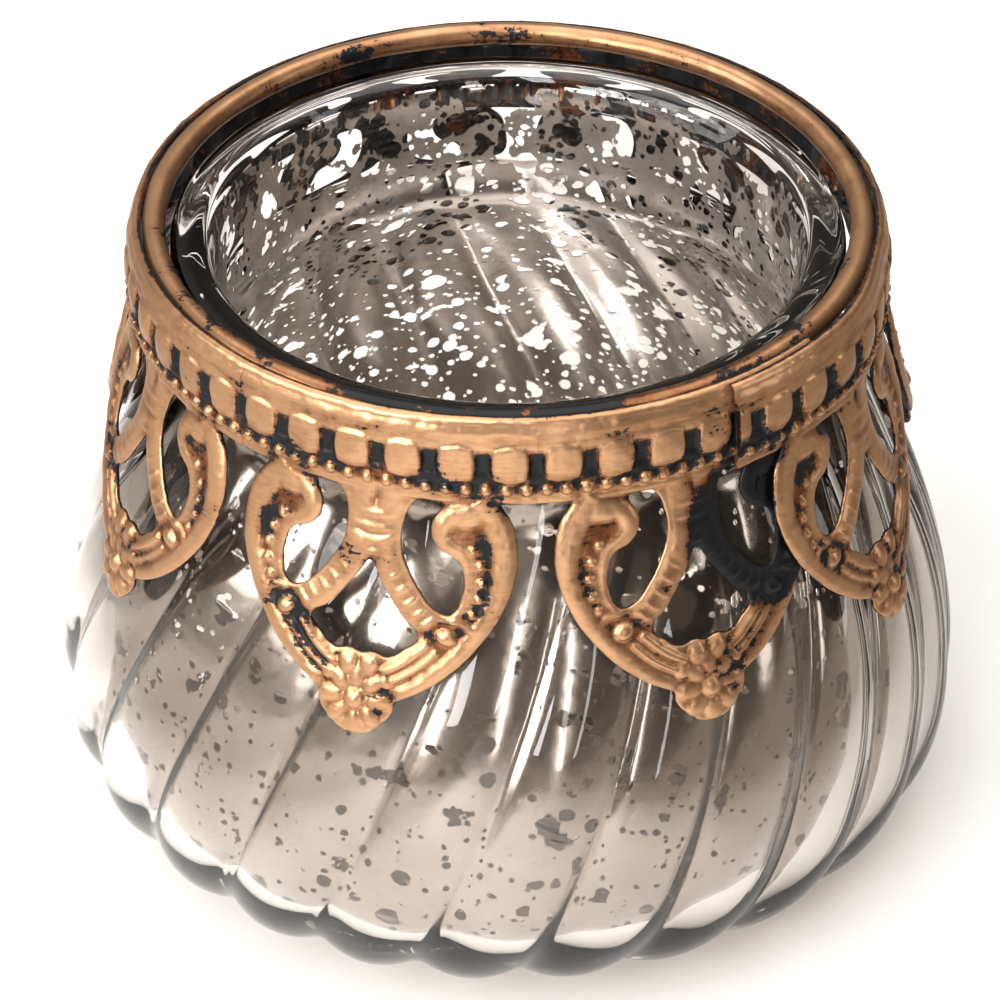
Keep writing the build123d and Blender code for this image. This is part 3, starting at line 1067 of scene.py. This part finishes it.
def model_rim_wire():
    clear_bench()
    low, high = WIRE.tolist()
    minor = (high[2] - low[2]) / 2 + 0.12
    major = high[0] - minor + 0.2
    bpy.ops.mesh.primitive_torus_add(
        location=(0, 0, (low[2] + minor) * MM), major_radius=major * MM,
        minor_radius=minor * MM, major_segments=300, minor_segments=22,
    )
    wire = bpy.context.object
    bpy.ops.object.transform_apply(location=True, rotation=True, scale=True)
    dents = bpy.data.textures.new("hand-bent unevenness", "CLOUDS")
    dents.noise_scale = 9 * MM
    apply_modifier(
        wire, "DISPLACE", texture=dents, strength=0.28 * MM, mid_level=0.5, texture_coords="LOCAL"
    )
    points = coordinates(wire) / MM
    points[:, 2] += WIRE_TILT * points[:, 1] / major
    set_coordinates(wire, points * MM)
    # Painted shade: the ring's inner side, towards the glass lip, and its front half get more black
    # lacquer and browner copper. This stands in for the shade that falls there.
    out = (np.hypot(points[:, 0], points[:, 1]) - major) / minor
    in_front = np.clip(-points[:, 1] / major - 0.45, 0, 0.55) / 0.55
    write_attribute(wire, "hollow", np.clip(0.02 - 0.3 * out, 0, 0.6) + 0.6 * in_front)
    smooth(wire)
    return wire


def model_solder():
    """Four blobs of solder between the wire and the band, each run down a little."""
    blobs = []
    for angle in TACK_ANGLES:
        for across, up, radius in ((0, 0, 1.15), (1.0, -0.25, 0.8), (-0.9, 0.15, 0.75)):
            turn = radians(angle) + across / TACK_RADIUS
            place = Vector((TACK_RADIUS * sin(turn), -TACK_RADIUS * cos(turn), TACK_Z + up)) * MM
            clear_bench()
            bpy.ops.mesh.primitive_ico_sphere_add(
                subdivisions=3, radius=radius * MM, location=place, scale=(1, 1, 0.8)
            )
            bpy.ops.object.transform_apply(location=True, rotation=True, scale=True)
            blobs.append(bpy.context.object)
    solder = join(blobs, "solder")
    apply_modifier(solder, "REMESH", mode="VOXEL", voxel_size=0.16 * MM)
    apply_modifier(solder, "SMOOTH", factor=0.5, iterations=3)
    write_attribute(solder, "hollow", np.full(len(solder.data.vertices), 0.25))
    smooth(solder)
    return solder


# ---------------------------------------------------------------- operators


class HOLDER_OT_glass(bpy.types.Operator):
    """Model the swirl-ribbed glass bowl"""

    bl_idname = "holder.glass"
    bl_label = "Glass bowl"

    def execute(self, context):
        settle(model_glass_bowl(), "glass", clear_blown_glass(), "bowl", "glass_bowl", slot="glass")
        return {"FINISHED"}


class HOLDER_OT_silvering(bpy.types.Operator):
    """Lay the worn silvering inside the glass"""

    bl_idname = "holder.silvering"
    bl_label = "Silvering"

    def execute(self, context):
        settle(model_silvering(), "silvering", None, "bowl", "silver_lining", slot="silvering")
        return {"FINISHED"}


class HOLDER_OT_collar(bpy.types.Operator):
    """Stamp the strip flat and roll it round the neck"""

    bl_idname = "holder.collar"
    bl_label = "Stamped collar"

    def execute(self, context):
        model_collar(rubbed_copper("stamped sheet, black lacquer rubbed with copper paste"))
        return {"FINISHED"}


class HOLDER_OT_wire(bpy.types.Operator):
    """Bend the wire ring and solder it to the collar"""

    bl_idname = "holder.wire"
    bl_label = "Wire ring and solder"

    def execute(self, context):
        paint = rubbed_copper("drawn wire, black lacquer rubbed with copper paste")
        settle(model_rim_wire(), "wire_ring", paint, "collar", "rim_wire", slot="wire")
        dull = rubbed_copper("soft solder, painted over")
        settle(model_solder(), "solder", dull, "collar", "solder_tacks", slot="solder")
        return {"FINISHED"}


def hang_softbox(name, place, width, height, watts):
    """A rectangular lamp turned to the middle of the holder."""
    light = bpy.data.lights.new(name, "AREA")
    light.shape = "RECTANGLE"
    light.size, light.size_y = width, height
    light.energy = watts
    lamp = bpy.data.objects.new(name, light)
    bpy.context.scene.collection.objects.link(lamp)
    lamp.location = place
    lamp.rotation_euler = (Vector(LIT_POINT) - Vector(place)).to_track_quat("-Z", "Y").to_euler()


def hang_light_tent():
    """Grey walls that darken to the right and in front, a pale roof, and a pale backdrop."""
    world = bpy.data.worlds.new("light tent, open in front")
    bpy.context.scene.world = world
    world.use_nodes = True
    tree = world.node_tree
    tree.nodes.clear()
    way = add(tree, "ShaderNodeTexCoord").outputs["Generated"]
    way = add(tree, "ShaderNodeSeparateXYZ", {"Vector": way})
    rightward, in_front, lifted, above = (
        add(
            tree, "ShaderNodeMapRange",
            {"Value": way.outputs[axis], "From Min": start, "From Max": end},
        ).outputs["Result"]
        for axis, start, end in (
            ("X", -0.4, 0.5), ("Y", -0.45, -0.8), ("Z", 0.02, 0.22), ("Z", 0.45, 0.7)
        )
    )
    open_front = add(tree, "ShaderNodeMath", {0: in_front, 1: lifted}, operation="MULTIPLY")
    backdrop = add(tree, "ShaderNodeLightPath").outputs["Is Camera Ray"]
    shade = linear("#918a82")
    for share, colour in (
        (rightward, "#57504a"), (open_front.outputs["Value"], "#483d34"), (above, "#c3bdb7"),
        (backdrop, "#ecebe8"),
    ):
        shade = add(
            tree, "ShaderNodeMix", {"Factor": share, 6: shade, 7: linear(colour)},
            data_type="RGBA",
        ).outputs[2]
    back = add(tree, "ShaderNodeBackground", {"Color": shade, "Strength": 1.0})
    add(tree, "ShaderNodeOutputWorld", {"Surface": back.outputs["Background"]})


def set_camera():
    lens = bpy.data.cameras.new("camera")
    lens.lens = 197.4
    lens.sensor_width = 36.0
    lens.clip_end = 20
    camera = bpy.data.objects.new("camera", lens)
    bpy.context.scene.collection.objects.link(camera)
    camera.location = (-0.00085, -0.4962, 0.3880)
    camera.rotation_euler = (radians(54.77), 0, 0)
    bpy.context.scene.camera = camera
    bpy.context.scene.view_settings.view_transform = "Standard"


class HOLDER_OT_stage(bpy.types.Operator):
    """Lay the floor and set the lights and the camera"""

    bl_idname = "holder.stage"
    bl_label = "Floor, light and camera"

    def execute(self, context):
        clear_bench()
        bpy.ops.mesh.primitive_plane_add(size=6.0, location=(0, 0, -0.1 * MM))
        floor = context.object
        floor.name = "paper_floor"
        floor.data.materials.append(matt_paper())
        for lamp in (
            ("overhead tent", (0.0, 0.25, 2.2), 2.6, 2.6, 42),
            ("key softbox, left", (-0.95, -0.35, 0.62), 0.8, 0.75, 9),
            ("front strip", (-0.16, -0.62, 0.78), 0.14, 0.5, 2.5),
            ("front left strip", (-0.56, -0.76, 0.42), 0.26, 0.5, 6),
            ("front right strip", (0.17, -0.78, 0.24), 0.05, 0.4, 0.5),
            ("right strip", (0.85, -0.25, 0.35), 0.16, 0.6, 0.8),
        ):
            hang_softbox(*lamp)
        hang_light_tent()
        set_camera()
        return {"FINISHED"}


class HOLDER_PT_panel(bpy.types.Panel):
    bl_label = "Tealight holder"
    bl_idname = "HOLDER_PT_panel"
    bl_space_type = "VIEW_3D"
    bl_region_type = "UI"
    bl_category = "Tealight"

    def draw(self, context):
        column = self.layout.column()
        for group in (context.scene.holder_sizes, context.scene.holder_colours):
            for name in group.__annotations__:
                column.prop(group, name)
        for operator in OPERATORS:
            column.operator(operator.bl_idname)


OPERATORS = (
    HOLDER_OT_glass, HOLDER_OT_silvering, HOLDER_OT_collar, HOLDER_OT_wire, HOLDER_OT_stage
)
CLASSES = (HolderSizes, HolderColours, *OPERATORS, HOLDER_PT_panel)


def register():
    for kind in CLASSES:
        bpy.utils.register_class(kind)
    bpy.types.Scene.holder_sizes = bpy.props.PointerProperty(type=HolderSizes)
    bpy.types.Scene.holder_colours = bpy.props.PointerProperty(type=HolderColours)


def unregister():
    del bpy.types.Scene.holder_colours
    del bpy.types.Scene.holder_sizes
    for kind in reversed(CLASSES):
        bpy.utils.unregister_class(kind)


def main():
    register()
    for name in ("glass", "silvering", "collar", "wire", "stage"):
        getattr(bpy.ops.holder, name)()


if __name__ == "__main__":
    main()
